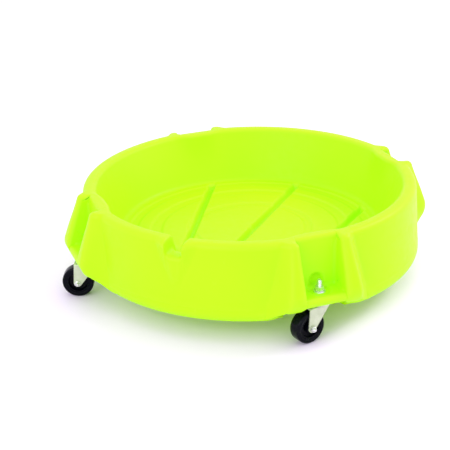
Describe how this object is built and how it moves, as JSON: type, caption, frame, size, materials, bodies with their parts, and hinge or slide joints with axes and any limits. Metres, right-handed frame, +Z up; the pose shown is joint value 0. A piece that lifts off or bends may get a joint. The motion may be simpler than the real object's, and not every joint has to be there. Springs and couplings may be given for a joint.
{
  "type": "drum dolly",
  "caption": "Round plastic spill-tray dolly that carries a steel drum: deep dished tray with a pouring spout, grooved floor and outboard swivel stem casters.",
  "frame": {"origin": "on the ground under the tray's centre", "axes": "+Z up, -Y towards the pouring spout, +X to the right of someone who faces the spout side"},
  "size_m": [0.833, 0.8385, 0.236],
  "materials": {
    "tray_polyethylene": "rotationally moulded satin, fine orange-peel skin",
    "zinc_steel": "pressed steel, pale zinc plate",
    "bearing_steel": "polished balls, greased",
    "fastener_steel": "bright zinc plate",
    "wheel_plastic": "moulded black, satin",
    "wheel_rubber": "hard black rubber, satin"
  },
  "bodies": {
    "root": {"tray": "tray_polyethylene", "stem_nuts": "fastener_steel", "stem_washers": "fastener_steel", "front_right_stem": "zinc_steel", "front_right_cap": "zinc_steel", "front_right_upper_balls": "bearing_steel", "front_right_lower_balls": "bearing_steel", "front_right_lower_race": "zinc_steel", "front_left_stem": "zinc_steel", "front_left_cap": "zinc_steel", "front_left_upper_balls": "bearing_steel", "front_left_lower_balls": "bearing_steel", "front_left_lower_race": "zinc_steel", "rear_left_stem": "zinc_steel", "rear_left_cap": "zinc_steel", "rear_left_upper_balls": "bearing_steel", "rear_left_lower_balls": "bearing_steel", "rear_left_lower_race": "zinc_steel", "rear_right_stem": "zinc_steel", "rear_right_cap": "zinc_steel", "rear_right_upper_balls": "bearing_steel", "rear_right_lower_balls": "bearing_steel", "rear_right_lower_race": "zinc_steel"},
    "front_right_swivel": {"front_right_fork": "zinc_steel", "front_right_axle_bolt": "fastener_steel", "front_right_axle_nut": "fastener_steel", "front_right_axle_sleeve": "fastener_steel"},
    "front_right_wheel": {"front_right_wheel_core": "wheel_plastic", "front_right_tyre": "wheel_rubber"},
    "front_left_swivel": {"front_left_fork": "zinc_steel", "front_left_axle_bolt": "fastener_steel", "front_left_axle_nut": "fastener_steel", "front_left_axle_sleeve": "fastener_steel"},
    "front_left_wheel": {"front_left_wheel_core": "wheel_plastic", "front_left_tyre": "wheel_rubber"},
    "rear_left_swivel": {"rear_left_fork": "zinc_steel", "rear_left_axle_bolt": "fastener_steel", "rear_left_axle_nut": "fastener_steel", "rear_left_axle_sleeve": "fastener_steel"},
    "rear_left_wheel": {"rear_left_wheel_core": "wheel_plastic", "rear_left_tyre": "wheel_rubber"},
    "rear_right_swivel": {"rear_right_fork": "zinc_steel", "rear_right_axle_bolt": "fastener_steel", "rear_right_axle_nut": "fastener_steel", "rear_right_axle_sleeve": "fastener_steel"},
    "rear_right_wheel": {"rear_right_wheel_core": "wheel_plastic", "rear_right_tyre": "wheel_rubber"}
  },
  "joints": [
    {"name": "front_right_swivel_turn", "type": "hinge", "parent": "root", "child": "front_right_swivel", "pos_m": [0.28991, -0.28991, 0.088], "axis": [0, 0, 1], "continuous": true},
    {"name": "front_right_wheel_roll", "type": "hinge", "parent": "front_right_swivel", "child": "front_right_wheel", "pos_m": [0.2724, -0.31906, 0.038], "axis": [0.8572, -0.515, 0], "continuous": true},
    {"name": "front_left_swivel_turn", "type": "hinge", "parent": "root", "child": "front_left_swivel", "pos_m": [-0.28991, -0.28991, 0.088], "axis": [0, 0, 1], "continuous": true},
    {"name": "front_left_wheel_roll", "type": "hinge", "parent": "front_left_swivel", "child": "front_left_wheel", "pos_m": [-0.32097, -0.30374, 0.038], "axis": [0.4067, -0.9135, 0], "continuous": true},
    {"name": "rear_left_swivel_turn", "type": "hinge", "parent": "root", "child": "rear_left_swivel", "pos_m": [-0.28991, 0.28991, 0.088], "axis": [0, 0, 1], "continuous": true},
    {"name": "rear_left_wheel_roll", "type": "hinge", "parent": "rear_left_swivel", "child": "rear_left_wheel", "pos_m": [-0.31936, 0.27291, 0.038], "axis": [0.5, -0.866, 0], "continuous": true},
    {"name": "rear_right_swivel_turn", "type": "hinge", "parent": "root", "child": "rear_right_swivel", "pos_m": [0.28991, 0.28991, 0.088], "axis": [0, 0, 1], "continuous": true},
    {"name": "rear_right_wheel_roll", "type": "hinge", "parent": "rear_right_swivel", "child": "rear_right_wheel", "pos_m": [0.26806, 0.26387, 0.038], "axis": [0.766, -0.6428, 0], "continuous": true}
  ]
}
